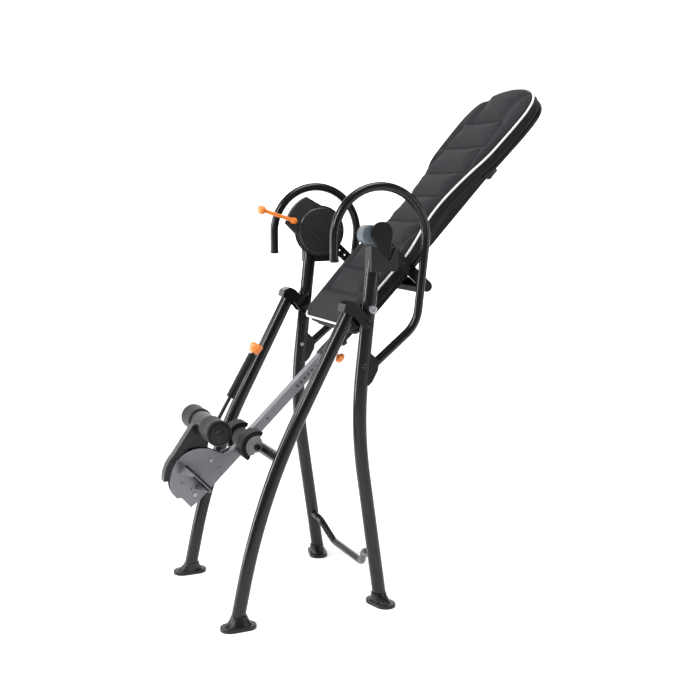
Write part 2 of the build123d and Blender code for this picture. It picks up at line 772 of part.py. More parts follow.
with BuildPart() as boom:
    with BuildSketch(boom_across(BOOM_END)):
        RectangleRounded(2 * BOOM_HALF, 2 * BOOM_HALF, 3)
        RectangleRounded(2 * (BOOM_HALF - BOOM_WALL), 2 * (BOOM_HALF - BOOM_WALL), 1.5, mode=Mode.SUBTRACT)
    extrude(amount=-(BOOM_TOP - BOOM_END))
    hole_places = [(BOOM_FIRST_HOLE + i * BOOM_HOLE_PITCH, 0) for i in range(BOOM_HOLES)] + [(0, 0)]
    with BuildSketch(boom_side(-BOOM_HALF - 1)):
        with Locations(*hole_places):
            Circle(4.2)
    extrude(amount=2 * BOOM_HALF + 2, mode=Mode.SUBTRACT)
    boom_rod(PLATE_BOLTS[1], BOLT_R, -30, 30, Mode.SUBTRACT)
    boom_rod(CUP_AT, 8.0 + RUNNING, -30, 30, Mode.SUBTRACT)
save(boom.part, "boom")

with BuildPart() as side_plate:
    with BuildSketch(boom_side(PLATE_IN)):
        with BuildLine():
            neck = (-212.0, 36.0)
            rim_top = polar(ANKLE_PIVOT, PLATE_R, 18)
            rim_mid = polar(ANKLE_PIVOT, PLATE_R, 90)
            rim_low = polar(ANKLE_PIVOT, PLATE_R, 172)
            Polyline((-170, -BOOM_HALF), (-170, BOOM_HALF), neck, rim_top)
            ThreePointArc(rim_top, rim_mid, rim_low)
            Polyline(rim_low, (-438, 40), (-440, -13), (-400, -BOOM_HALF), (-170, -BOOM_HALF))
        make_face()
        with Locations((-395, 82), (-387, 37), (-366, 40), (-354, 12)):
            Circle(3.5, mode=Mode.SUBTRACT)
        with Locations(*PLATE_BOLTS):
            Circle(BOLT_R, mode=Mode.SUBTRACT)
        with Locations(ANKLE_PIVOT):
            Circle(6.0, mode=Mode.SUBTRACT)
    extrude(amount=PLATE_OUT - PLATE_IN)
save_pair(side_plate.part, "ankle_side_plate")

with BuildPart() as plate_bolts:
    for place in PLATE_BOLTS:
        through_bolt(place, boom_side, BOLT_R, 8.0, -PLATE_OUT, PLATE_OUT)
    for place in PLATE_BOLTS[2:]:
        boom_rod(place, 7.0, -PLATE_IN, PLATE_IN)
    boom_rod(ANKLE_PIVOT, 6.0, -PLATE_OUT, PLATE_OUT)
save(plate_bolts.part, "plate_bolts")

STEP_AT = -345.0
STEP_OUT = 150.0
STEP_LOW = 24.0
STEP_HIGH = 117.0
STEP_MID = (STEP_LOW + STEP_HIGH) / 2

with BuildPart() as foot_plate:
    with BuildSketch(boom_across(STEP_AT, STEP_MID)):
        with Locations(((PLATE_OUT + STEP_OUT) / 2, 0)):
            Rectangle(STEP_OUT - PLATE_OUT, STEP_HIGH - STEP_LOW)
    extrude(amount=3)
    with BuildSketch(boom_side(PLATE_OUT)):
        with Locations((STEP_AT - 14, STEP_MID)):
            Rectangle(28, STEP_HIGH - STEP_LOW - 20)
    extrude(amount=3)
    for level in (STEP_LOW + 1.5, STEP_HIGH - 1.5):
        with BuildSketch(Plane(boom_point(STEP_AT - 3, level), x_dir=(1, 0, 0), z_dir=boom_side().y_dir)):
            Polygon(
                (PLATE_OUT, 0),
                (STEP_OUT, 0),
                (STEP_OUT, -6),
                (PLATE_OUT, -32),
                align=None,
            )
        extrude(amount=1.5, both=True)
save(both_sides(foot_plate.part), "foot_plate")

with BuildPart() as foot_tread:
    with BuildSketch(boom_across(STEP_AT, STEP_MID)):
        with Locations(((PLATE_OUT + STEP_OUT) / 2, 0)):
            Rectangle(STEP_OUT - PLATE_OUT - 1, STEP_HIGH - STEP_LOW)
    extrude(amount=-9)
    tread_top = foot_tread.faces().sort_by(Axis((0, 0, 0), boom_side().x_dir))[-1]
    fillet(tread_top.edges(), radius=3)
save(both_sides(foot_tread.part), "foot_tread")

# ---------------------------------------------------------------- rear ankle cups
CUP_ARC = (22.0, 190.0)
CUP_AXLE_R = 8.0


def cup_sector(outer, inner):
    """Curved section of the rear ankle cup between two radii."""
    first = [polar(CUP_AT, r, CUP_ARC[0]) for r in (inner, outer)]
    middle = [polar(CUP_AT, r, sum(CUP_ARC) / 2) for r in (inner, outer)]
    last = [polar(CUP_AT, r, CUP_ARC[1]) for r in (inner, outer)]
    with BuildLine() as band:
        ThreePointArc(first[1], middle[1], last[1])
        Line(last[1], last[0])
        ThreePointArc(last[0], middle[0], first[0])
        Line(first[0], first[1])
    make_face(band.edges())


with BuildPart() as cup_foam:
    with BuildSketch(boom_side(CUP_IN)):
        cup_sector(CUP_R, CUP_BORE)
    extrude(amount=CUP_OUT - CUP_IN)
    fillet(cup_foam.edges().filter_by(Axis.X), radius=5)
save(both_sides(cup_foam.part), "ankle_cup_foam")

with BuildPart() as cup_carrier:
    with BuildSketch(boom_side(CUP_IN + 4)):
        with BuildLine():
            start = polar(CUP_AT, CUP_BORE, CUP_ARC[0] + 4)
            end = polar(CUP_AT, CUP_BORE, CUP_ARC[1] - 4)
            ThreePointArc(start, polar(CUP_AT, CUP_BORE, sum(CUP_ARC) / 2), end)
            Line(end, polar(CUP_AT, 12, 270))
            Line(polar(CUP_AT, 12, 270), start)
        make_face()
    extrude(amount=CUP_OUT - CUP_IN - 4)
    boom_rod(CUP_AT, CUP_AXLE_R, CUP_IN, CUP_OUT + 1, Mode.SUBTRACT)
save(both_sides(cup_carrier.part), "ankle_cup_carriers")

with BuildPart() as cup_axle:
    through_bolt(CUP_AT, boom_side, CUP_AXLE_R, 11.0, -CUP_OUT, CUP_OUT, 8.0)
save(cup_axle.part, "ankle_cup_axle")

# ---------------------------------------------------------------- front roller arm
CRESCENT_IN = 118.0
CRESCENT_OUT = 139.0
CRESCENT_TAIL = 136.0
CRESCENT_HEAD = 92.0
HUB_R = 42.0
ARM_WEB = [(-300, 158), (-205, 166), (-190, 140), (-262, 80)]
ROLLER_AXLE_R = 6.0

with BuildPart() as roller_arm:
    with BuildSketch(boom_side(-20)):
        with BuildLine():
            tail = [polar(ANKLE_PIVOT, r, CRESCENT_TAIL) for r in (CRESCENT_IN, CRESCENT_OUT)]
            bow = [polar(ANKLE_PIVOT, r, 114) for r in (CRESCENT_IN, CRESCENT_OUT)]
            head = [polar(ANKLE_PIVOT, r, CRESCENT_HEAD) for r in (CRESCENT_IN, CRESCENT_OUT)]
            crown = polar(ROLLER_AT, HUB_R + 12, 128)
            throat = polar(ROLLER_AT, HUB_R - 6, 190)
            Line(tail[0], tail[1])
            ThreePointArc(tail[1], bow[1], head[1])
            Polyline(head[1], crown, throat, head[0])
            ThreePointArc(head[0], bow[0], tail[0])
        make_face()
    extrude(amount=40)
    with BuildSketch(boom_side(-8)):
        for place, radius in ((ANKLE_PIVOT, 17.0), (ROLLER_AT, 17.0)):
            with Locations(place):
                Circle(radius)
        make_hull()
        Polygon(*ARM_WEB, align=None)
    extrude(amount=16)
    boom_rod(ANKLE_PIVOT, 6.0 + RUNNING, -30, 30, Mode.SUBTRACT)
    boom_rod(ROLLER_AT, HUB_R, -30, 30, Mode.SUBTRACT)
save(roller_arm.part, "roller_arm")

with BuildPart() as roller_hub:
    boom_rod(ROLLER_AT, HUB_R, -58, 58)
    fillet(roller_hub.edges().filter_by(GeomType.CIRCLE), radius=3)
    boom_rod(ROLLER_AT, ROLLER_AXLE_R, -60, 60, Mode.SUBTRACT)
save(roller_hub.part, "roller_hub")

with BuildPart() as roller_axle:
    boom_rod(ROLLER_AT, ROLLER_AXLE_R, -ROLLER_OUT - 1, ROLLER_OUT + 1)
    for x_cap in (-ROLLER_OUT - 4, ROLLER_OUT + 1):
        boom_rod(ROLLER_AT, 12.0, x_cap, x_cap + 3)
save(roller_axle.part, "roller_axle")

with BuildPart() as roller:
    boom_rod(ROLLER_AT, ROLLER_R, ROLLER_IN, ROLLER_OUT)
    fillet(roller.edges().filter_by(GeomType.CIRCLE), radius=8)
    boom_rod(ROLLER_AT, ROLLER_AXLE_R + RUNNING, ROLLER_IN - 1, ROLLER_OUT + 1, Mode.SUBTRACT)
save_pair(roller.part, "foam_roller")

LEVER_X = -45.0
ROD_R = 7.0
ROD_ROUTE = [(-176.0, 108.0), (-110.0, 127.0), (166.0, 207.5)]
rod_low = boom_point(*ROD_ROUTE[1], LEVER_X)
rod_high = boom_point(*ROD_ROUTE[2], LEVER_X)
rod_dir = (rod_high - rod_low).normalized()
rod_length = (rod_high - rod_low).length


def along_rod(distance):
    """Plane square to the ankle lever's long run, at a distance from its lower corner."""
    return Plane(origin=rod_low + rod_dir * distance, z_dir=rod_dir)


with BuildPart() as ankle_lever:
    sweep_tube([boom_point(*place, LEVER_X) for place in ROD_ROUTE], [40], ROD_R)
    add(roller_hub.part, mode=Mode.SUBTRACT)
    boom_rod(ROLLER_AT, HUB_R, -60, 60, Mode.SUBTRACT)
save(ankle_lever.part.solids().sort_by(SortBy.VOLUME)[-1], "ankle_lever")

GRIP_START = 75.0
GRIP_LENGTH = 187.0
with BuildPart() as lever_grip:
    with BuildSketch(along_rod(GRIP_START)):
        Circle(15)
        Circle(ROD_R, mode=Mode.SUBTRACT)
    extrude(amount=GRIP_LENGTH)
    fillet(lever_grip.faces().sort_by(Axis((0, 0, 0), rod_dir))[0].edges().sort_by(Edge.radius)[-1], radius=4)
save(lever_grip.part, "lever_grip")

BUTTON_GAP = 5.0
BUTTON_LENGTH = 38.0
with BuildPart() as release_button:
    with BuildSketch(along_rod(GRIP_START + GRIP_LENGTH + BUTTON_GAP)):
        Circle(23)
    extrude(amount=BUTTON_LENGTH)
    fillet(release_button.faces().sort_by(Axis((0, 0, 0), rod_dir))[-1].edges(), radius=6)
    with BuildSketch(along_rod(GRIP_START + GRIP_LENGTH + BUTTON_GAP)):
        Circle(ROD_R + RUNNING)
    extrude(amount=rod_length - GRIP_START - GRIP_LENGTH - BUTTON_GAP + 6, mode=Mode.SUBTRACT)
save(release_button.part, "release_button")
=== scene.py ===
"""Looks of the inversion table: materials, soft pieces, details, studio and camera."""

import json
import math
import random

import bmesh
import bpy
from mathutils import Matrix, Vector
from mathutils.bvhtree import BVHTree


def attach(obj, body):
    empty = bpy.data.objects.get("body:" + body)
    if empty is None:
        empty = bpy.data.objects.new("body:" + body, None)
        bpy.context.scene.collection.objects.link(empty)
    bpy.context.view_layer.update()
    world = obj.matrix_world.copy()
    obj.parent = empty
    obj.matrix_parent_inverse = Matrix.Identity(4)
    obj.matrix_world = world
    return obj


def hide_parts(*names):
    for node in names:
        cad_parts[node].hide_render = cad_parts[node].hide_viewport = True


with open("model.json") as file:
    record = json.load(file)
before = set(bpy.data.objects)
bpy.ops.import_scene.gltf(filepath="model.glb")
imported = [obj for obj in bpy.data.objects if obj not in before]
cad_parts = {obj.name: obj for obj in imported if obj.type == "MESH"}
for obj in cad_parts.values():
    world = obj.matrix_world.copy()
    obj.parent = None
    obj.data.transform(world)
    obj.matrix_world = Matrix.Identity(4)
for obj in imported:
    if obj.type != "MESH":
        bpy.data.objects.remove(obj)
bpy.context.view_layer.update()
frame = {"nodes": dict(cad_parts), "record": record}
nodes = frame["nodes"]
random.seed(7)

MM = 0.001
CENTRE_Y = 0.3128
BOOM_ANGLE = math.radians(43.57)
BED_ANGLE = math.radians(46.6)


# ------------------------------------------------------------ frames of the boom and the pad
def side_point(y, z, x=0.0):
    """Point from millimetres in the side plane of the drawing."""
    return Vector((x * MM, y * MM - CENTRE_Y, z * MM))


def boom_point(t, m, x=0.0):
    c, s = math.cos(BOOM_ANGLE), math.sin(BOOM_ANGLE)
    return side_point(-52 + c * t - s * m, 691 + s * t + c * m, x)


def pad_point(x, s, n):
    c, k = math.cos(BED_ANGLE), math.sin(BED_ANGLE)
    return side_point(190 + c * s - k * n, 1055 + k * s + c * n, x)


BOOM_U = (boom_point(1, 0) - boom_point(0, 0)).normalized()
BOOM_N = (boom_point(0, 1) - boom_point(0, 0)).normalized()
PAD_U = (pad_point(0, 1, 0) - pad_point(0, 0, 0)).normalized()
PAD_N = (pad_point(0, 0, 1) - pad_point(0, 0, 0)).normalized()
PAD_ZERO = pad_point(0, 0, 0)


def pad_coords(p):
    d = p - PAD_ZERO
    return p.x / MM, d.dot(PAD_U) / MM, d.dot(PAD_N) / MM


# ------------------------------------------------------------ materials
def new_material(name):
    mat = bpy.data.materials.new(name)
    mat.use_nodes = True
    tree = mat.node_tree
    bsdf = tree.nodes["Principled BSDF"]
    return mat, tree, bsdf


def node(tree, kind, **values):
    made = tree.nodes.new(kind)
    for key, value in values.items():
        if key in made.inputs:
            made.inputs[key].default_value = value
        else:
            setattr(made, key, value)
    return made


def surface(
    name, colour, rough, metal=0.0, coat=0.0, coat_rough=0.08, spec=0.5, vary=0.12, patch=14.0,
    grain=900.0, bump=0.05, rough_vary=0.06, sheen=0.0, height=0.0004, streak=None,
):
    """Principled surface with colour drift, uneven roughness and fine relief, all in object space."""
    mat, tree, bsdf = new_material(name)
    link = tree.links.new
    coords = node(tree, "ShaderNodeTexCoord")
    source = coords.outputs["Object"]
    if streak:
        stretch = node(tree, "ShaderNodeMapping", Scale=streak)
        link(source, stretch.inputs["Vector"])
        source = stretch.outputs["Vector"]
    broad = node(tree, "ShaderNodeTexNoise", Scale=patch, Detail=4.0, Roughness=0.6)
    fine = node(tree, "ShaderNodeTexNoise", Scale=grain, Detail=3.0, Roughness=0.6)
    link(coords.outputs["Object"], broad.inputs["Vector"])
    link(source, fine.inputs["Vector"])
    ramp = node(tree, "ShaderNodeValToRGB")
    ramp.color_ramp.elements[0].position = 0.3
    ramp.color_ramp.elements[1].position = 0.7
    ramp.color_ramp.elements[0].color = (*[c * (1 - vary) for c in colour], 1)
    ramp.color_ramp.elements[1].color = (*[min(1, c * (1 + vary)) for c in colour], 1)
    link(broad.outputs["Fac"], ramp.inputs["Fac"])
    link(ramp.outputs["Color"], bsdf.inputs["Base Color"])
    spread = node(tree, "ShaderNodeMapRange")
    spread.inputs["To Min"].default_value = max(0.03, rough - rough_vary)
    spread.inputs["To Max"].default_value = min(1.0, rough + rough_vary)
    link(broad.outputs["Fac"], spread.inputs["Value"])
    link(spread.outputs["Result"], bsdf.inputs["Roughness"])
    relief = node(tree, "ShaderNodeBump", Strength=bump, Distance=height)
    link(fine.outputs["Fac"], relief.inputs["Height"])
    link(relief.outputs["Normal"], bsdf.inputs["Normal"])
    bsdf.inputs["Metallic"].default_value = metal
    bsdf.inputs["Coat Weight"].default_value = coat
    bsdf.inputs["Coat Roughness"].default_value = coat_rough
    bsdf.inputs["Specular IOR Level"].default_value = spec
    bsdf.inputs["Sheen Weight"].default_value = sheen
    bsdf.inputs["Sheen Roughness"].default_value = 0.5
    return mat


def woven(name, colour, pitch, depth, sheen, vary=0.16):
    """Plain weave in the pad's own directions, with slight colour drift and lint."""
    mat, tree, bsdf = new_material(name)
    link = tree.links.new
    coords = node(tree, "ShaderNodeTexCoord")
    turn = node(tree, "ShaderNodeMapping", vector_type="POINT")
    turn.inputs["Rotation"].default_value = (-BED_ANGLE, 0, 0)
    link(coords.outputs["Object"], turn.inputs["Vector"])
    waves = []
    for direction in ("X", "Y"):
        wave = node(
            tree, "ShaderNodeTexWave", wave_type="BANDS", bands_direction=direction,
            wave_profile="SIN", Scale=0.31416 / pitch, Distortion=0.6, Detail=1.0,
        )
        wave.inputs["Detail Scale"].default_value = 2.0
        link(turn.outputs["Vector"], wave.inputs["Vector"])
        waves.append(wave)
    cross = node(tree, "ShaderNodeMath", operation="MAXIMUM")
    link(waves[0].outputs["Fac"], cross.inputs[0])
    link(waves[1].outputs["Fac"], cross.inputs[1])
    lint = node(tree, "ShaderNodeTexNoise", Scale=60.0, Detail=6.0, Roughness=0.7)
    link(coords.outputs["Object"], lint.inputs["Vector"])
    ramp = node(tree, "ShaderNodeValToRGB")
    ramp.color_ramp.elements[0].position = 0.25
    ramp.color_ramp.elements[1].position = 0.75
    ramp.color_ramp.elements[0].color = (*[c * (1 - vary) for c in colour], 1)
    ramp.color_ramp.elements[1].color = (*[c * (1 + vary) for c in colour], 1)
    link(lint.outputs["Fac"], ramp.inputs["Fac"])
    shade = node(tree, "ShaderNodeMix", data_type="RGBA", blend_type="MULTIPLY")
    shade.inputs["Factor"].default_value = 0.35
    link(ramp.outputs["Color"], shade.inputs["A"])
    link(cross.outputs["Value"], shade.inputs["B"])
    link(shade.outputs["Result"], bsdf.inputs["Base Color"])
    relief = node(tree, "ShaderNodeBump", Strength=0.35, Distance=depth)
    link(cross.outputs["Value"], relief.inputs["Height"])
    link(relief.outputs["Normal"], bsdf.inputs["Normal"])
    bsdf.inputs["Roughness"].default_value = 0.78
    bsdf.inputs["Sheen Weight"].default_value = sheen
    bsdf.inputs["Sheen Roughness"].default_value = 0.45
    bsdf.inputs["Specular IOR Level"].default_value = 0.3
    return mat


def foam(name, colour, cell, depth, rough=0.8):
    """Skinned foam with small open cells."""
    mat, tree, bsdf = new_material(name)
    link = tree.links.new
    coords = node(tree, "ShaderNodeTexCoord")
    cells = node(tree, "ShaderNodeTexVoronoi", Scale=1.0 / cell, feature="F1")
    cloud = node(tree, "ShaderNodeTexNoise", Scale=22.0, Detail=5.0, Roughness=0.65)
    for tex in (cells, cloud):
        link(coords.outputs["Object"], tex.inputs["Vector"])
    ramp = node(tree, "ShaderNodeValToRGB")
    ramp.color_ramp.elements[0].position = 0.3
    ramp.color_ramp.elements[1].position = 0.75
    ramp.color_ramp.elements[0].color = (*[c * 0.8 for c in colour], 1)
    ramp.color_ramp.elements[1].color = (*[c * 1.2 for c in colour], 1)
    link(cloud.outputs["Fac"], ramp.inputs["Fac"])
    link(ramp.outputs["Color"], bsdf.inputs["Base Color"])
    relief = node(tree, "ShaderNodeBump", Strength=0.4, Distance=depth)
    link(cells.outputs["Distance"], relief.inputs["Height"])
    link(relief.outputs["Normal"], bsdf.inputs["Normal"])
    bsdf.inputs["Roughness"].default_value = rough
    bsdf.inputs["Sheen Weight"].default_value = 0.05
    bsdf.inputs["Specular IOR Level"].default_value = 0.2
    return mat


M = {
    "black_frame": surface("powder_black", (0.0042, 0.0048, 0.0062), 0.27, coat=0.18, coat_rough=0.12, spec=0.28,
                           vary=0.06, rough_vary=0.015, bump=0.012, grain=1500),
    "head_grey": surface("head_grey", (0.075, 0.094, 0.110), 0.34, coat=0.25, vary=0.04, rough_vary=0.02, bump=0.03),
    "cradle_grey": surface("cradle_grey", (0.0095, 0.0095, 0.0105), 0.42, spec=0.4, vary=0.05, bump=0.06, grain=900),
    "cover_grey": surface("cover_grey", (0.019, 0.020, 0.0225), 0.40, vary=0.06, bump=0.10, grain=1200),
    "black_plastic": surface("black_plastic", (0.004, 0.004, 0.0045), 0.34, spec=0.32, vary=0.06, bump=0.08, grain=1200),
    "rubber_black": surface("rubber_black", (0.006, 0.0064, 0.0076), 0.38, spec=0.36, vary=0.08, bump=0.10, grain=900),
    "silver_paint": surface("silver_paint", (0.185, 0.189, 0.206), 0.34, metal=0.35, coat=0.2, vary=0.04,
                            rough_vary=0.03, bump=0.02),
    "arm_grey": surface("arm_grey", (0.006, 0.0062, 0.007), 0.34, coat=0.15, spec=0.3, vary=0.05, bump=0.04),
    "foam_grey": foam("foam_grey", (0.0045, 0.0045, 0.005), 0.0026, 0.0004, rough=0.5),
    "grip_foam": foam("grip_foam", (0.007, 0.007, 0.008), 0.002, 0.0004, rough=0.6),
    "board_black": surface("board_black", (0.004, 0.004, 0.005), 0.5, spec=0.3, bump=0.2, grain=600),
    "carrier_grey": surface("carrier_grey", (0.22, 0.225, 0.235), 0.40, vary=0.06, bump=0.06),
    "orange_plastic": surface("orange_plastic", (0.86, 0.235, 0.035), 0.34, coat=0.3, vary=0.05,
                              rough_vary=0.03, bump=0.02),
    "bright_bolt": surface("bright_bolt", (0.30, 0.31, 0.33), 0.22, metal=1.0, vary=0.06, bump=0.03, patch=40),
    "bright_steel": surface("bright_steel", (0.40, 0.41, 0.43), 0.26, metal=1.0, vary=0.06, bump=0.03, patch=40),
    "disc_steel": surface("disc_steel", (0.36, 0.36, 0.37), 0.32, metal=1.0, vary=0.06, bump=0.06, patch=40),
    "caliper_alloy": surface("caliper_alloy", (0.30, 0.30, 0.31), 0.4, metal=1.0, bump=0.15, grain=600),
    "lining": surface("lining", (0.04, 0.037, 0.035), 0.8, bump=0.4, grain=700),
    "bush_bronze": surface("bush_bronze", (0.40, 0.27, 0.11), 0.35, metal=1.0, bump=0.04),
    "bolt_black": surface("bolt_black", (0.010, 0.010, 0.011), 0.28, metal=0.5, bump=0.03),
    "piping_white": woven("piping_white", (0.82, 0.82, 0.82), 0.0016, 0.0002, 0.1, vary=0.03),
    "pad_cloth": woven("pad_cloth", (0.0100, 0.0078, 0.0112), 0.0021, 0.0004, 0.05),
    "thread": surface("thread", (0.010, 0.009, 0.011), 0.7, bump=0.2),
    "dull_black": surface("dull_black", (0.004, 0.0045, 0.0055), 0.6, spec=0.08, bump=0.05),
    "weld": surface("weld", (0.008, 0.0085, 0.010), 0.30, coat=0.4, bump=0.35, grain=260, height=0.0006),
}

slot_of = {s["node"]: s["material_slot"] for s in frame["record"]["subparts"]}


def dress(obj, key):
    obj.data.materials.clear()
    obj.data.materials.append(M[key])


for name, obj in nodes.items():
    dress(obj, slot_of[name])
    obj.data.shade_smooth()
    obj.data.set_sharp_from_angle(angle=math.radians(32))


dress(nodes["bed_cross_tube"], "dull_black")


# ------------------------------------------------------------ mesh helpers
def finish_mesh(bm, name, key, body, smooth=True, sharp=40):
    mesh = bpy.data.meshes.new(name)
    bmesh.ops.recalc_face_normals(bm, faces=bm.faces)
    bm.to_mesh(mesh)
    bm.free()
    obj = bpy.data.objects.new(name, mesh)
    bpy.context.scene.collection.objects.link(obj)
    if smooth:
        mesh.shade_smooth()
        mesh.set_sharp_from_angle(angle=math.radians(sharp))
    mesh.materials.append(M[key])
    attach(obj, body)
    return obj


def axes_to(direction, hint=Vector((1, 0, 0))):
    """Rotation whose z axis is direction."""
    z = Vector(direction).normalized()
    if abs(z.dot(hint)) > 0.95:
        hint = Vector((0, 1, 0))
    x = hint.cross(z).normalized()
    y = z.cross(x)
    return Matrix((x, y, z)).transposed().to_4x4()


def lathe_into(bm, profile, at, direction, steps=48, wave=None):
    """Adds a turned form: profile is (radius, height) pairs in mm along direction from at."""
    place = Matrix.Translation(at) @ axes_to(direction)
    rings = []
    for r, h in profile:
        ring = []
        for i in range(steps):
            a = 2 * math.pi * i / steps
            rr = r * (1 + (wave(a, h) if wave else 0))
            ring.append(bm.verts.new(place @ Vector((rr * MM * math.cos(a), rr * MM * math.sin(a), h * MM))))
        rings.append(ring)
    for a, b in zip(rings, rings[1:]):
        for i in range(steps):
            j = (i + 1) % steps
            bm.faces.new((a[i], a[j], b[j], b[i]))
    bm.faces.new(rings[0][::-1])
    bm.faces.new(rings[-1])


def hex_head_into(bm, at, direction, across, height, washer=0.0):
    """Hexagon head with a chamfered top, standing on a washer."""
    base = 0.0
    if washer:
        lathe_into(bm, [(washer, 0), (washer, 1.2), (washer - 0.5, 1.6)], at, direction, 32)
        base = 1.6
    place = Matrix.Translation(at) @ axes_to(direction)
    corner = across / math.sqrt(3)
    rings = []
    for scale, h in ((0.97, base), (1.0, base + 0.4), (1.0, height - 1.0), (0.9, height)):
        ring = []
        for i in range(6):
            a = math.pi / 3 * i + 0.3
            ring.append(bm.verts.new(place @ Vector((corner * scale * MM * math.cos(a), corner * scale * MM * math.sin(a), h * MM))))
        rings.append(ring)
    for a, b in zip(rings, rings[1:]):
        for i in range(6):
            j = (i + 1) % 6
            bm.faces.new((a[i], a[j], b[j], b[i]))
    bm.faces.new(rings[0][::-1])
    bm.faces.new(rings[-1])


def tube_into(bm, points, radius, steps=12, closed=False):
    """Adds a round tube through points (metres), radius in mm."""
    count = len(points)
    rings = []
    previous = None
    for i, p in enumerate(points):
        if closed:
            ahead, behind = points[(i + 1) % count], points[i - 1]
        else:
            ahead, behind = points[min(i + 1, count - 1)], points[max(i - 1, 0)]
        tangent = (ahead - behind).normalized()
        if previous is None:
            x = tangent.orthogonal().normalized()
        else:
            x = (previous - tangent * previous.dot(tangent)).normalized()
        y = tangent.cross(x)
        previous = x
        ring = []
        for k in range(steps):
            a = 2 * math.pi * k / steps
            ring.append(bm.verts.new(p + (x * math.cos(a) + y * math.sin(a)) * radius * MM))
        rings.append(ring)
    pairs = list(zip(rings, rings[1:]))
    if closed:
        last = rings[-1]
        shift = min(range(steps), key=lambda k: (last[0].co - rings[0][k].co).length)
        pairs.append((last, rings[0][shift:] + rings[0][:shift]))
    for a, b in pairs:
        for k in range(steps):
            j = (k + 1) % steps
            bm.faces.new((a[k], a[j], b[j], b[k]))
    if not closed:
        bm.faces.new(rings[0][::-1])
        bm.faces.new(rings[-1])


# ------------------------------------------------------------ pad outline
HALF = [
    (0, 172), (6, 190), (20, 205), (42, 212), (200, 219), (350, 225), (420, 203), (510, 166), (600, 148),
    (690, 158), (780, 184), (860, 219), (925, 227), (1075, 236), (1130, 224), (1165, 209), (1200, 173),
    (1222, 140), (1238, 96), (1247, 48), (1250, 0),
]


def smooth_line(points, rounds=3):
    """Corner-cutting of an open polyline, ends kept."""
    for _ in range(rounds):
        out = [points[0]]
        for a, b in zip(points, points[1:]):
            out.append((a[0] * 0.75 + b[0] * 0.25, a[1] * 0.75 + b[1] * 0.25))
            out.append((a[0] * 0.25 + b[0] * 0.75, a[1] * 0.25 + b[1] * 0.75))
        out.append(points[-1])
        points = out
    return points


RIGHT_RIM = smooth_line([(w, s) for s, w in HALF], 2)


def rim(inset, spacing=8.0):
    """Closed pad outline, inset in mm, as (x, s) points evenly spaced."""
    full = RIGHT_RIM + [(-x, s) for x, s in reversed(RIGHT_RIM[:-1])]
    lengths = [0.0]
    loop = full + [full[0]]
    for a, b in zip(loop, loop[1:]):
        lengths.append(lengths[-1] + math.dist(a, b))
    total = lengths[-1]
    count = int(total / spacing)
    even = []
    k = 0
    for i in range(count):
        d = total * i / count
        while lengths[k + 1] < d:
            k += 1
        f = (d - lengths[k]) / max(1e-9, lengths[k + 1] - lengths[k])
        a, b = loop[k], loop[k + 1]
        even.append((a[0] + (b[0] - a[0]) * f, a[1] + (b[1] - a[1]) * f))
    out = []
    for i, p in enumerate(even):
        a, b = even[i - 2], even[(i + 2) % count]
        tx, ts = b[0] - a[0], b[1] - a[1]
        size = math.hypot(tx, ts)
        out.append((p[0] - ts / size * inset, p[1] + tx / size * inset))
    return out


def half_width(s):
    best = 0.0
    for a, b in zip(RIGHT_RIM, RIGHT_RIM[1:]):
        lo, hi = sorted((a[1], b[1]))
        if lo <= s <= hi:
            f = (s - a[1]) / (b[1] - a[1]) if b[1] != a[1] else 0
            best = max(best, a[0] + (b[0] - a[0]) * f)
    return best


CHANNELS = [(135, 145), (255, 142), (391, 144), (513, 146), (647, 146), (772, 163), (910, 166), (1050, 119)]
SIDE_LINES = [
    [(145, 135), (152, 172), (160, 232)],
    [(142, 255), (153, 310), (165, 366)],
    [(144, 391), (158, 449), (160, 492)],
    [(144, 513), (140, 570), (138, 626)],
    [(144, 647), (148, 700), (160, 752)],
    [(163, 772), (158, 830), (151, 884)],
    [(166, 910), (160, 965), (152, 1022)],
    [(119, 1050), (109, 1106), (121, 1160), (150, 1205)],
]


def channel_lines():
    lines = []
    for s, w in CHANNELS:
        lines.append([(-w, s), (-w * 0.5, s - 1.5), (0, s - 2), (w * 0.5, s - 1.5), (w, s)])
    for line in SIDE_LINES:
        lines.append(line)
        lines.append([(-x, s) for x, s in line])
    return lines


def dense(line, step=4.0):
    out = []
    for a, b in zip(line, line[1:]):
        n = max(1, int(math.dist(a, b) / step))
        out += [(a[0] + (b[0] - a[0]) * i / n, a[1] + (b[1] - a[1]) * i / n) for i in range(n)]
    return out + [line[-1]]


LINES = [dense(smooth_line(line, 2)) for line in channel_lines()]


def line_index():
    """Grid lookup of the nearest channel point."""
    cells = {}
    for line in LINES:
        for p in line:
            cells.setdefault((int(p[0] // 20), int(p[1] // 20)), []).append(p)
    return cells


CELLS = line_index()


def channel_distance(x, s):
    best = 60.0
    cx, cs = int(x // 20), int(s // 20)
    for i in (-1, 0, 1):
        for j in (-1, 0, 1):
            for p in CELLS.get((cx + i, cs + j), ()):
                d = math.hypot(p[0] - x, p[1] - s)
                if d < best:
                    best = d
    return best


def edge_distance(x, s, points):
    return min(math.hypot(p[0] - x, p[1] - s) for p in points)


# ------------------------------------------------------------ pad
PAD_BASE = -49.0
CROWN = 21.0


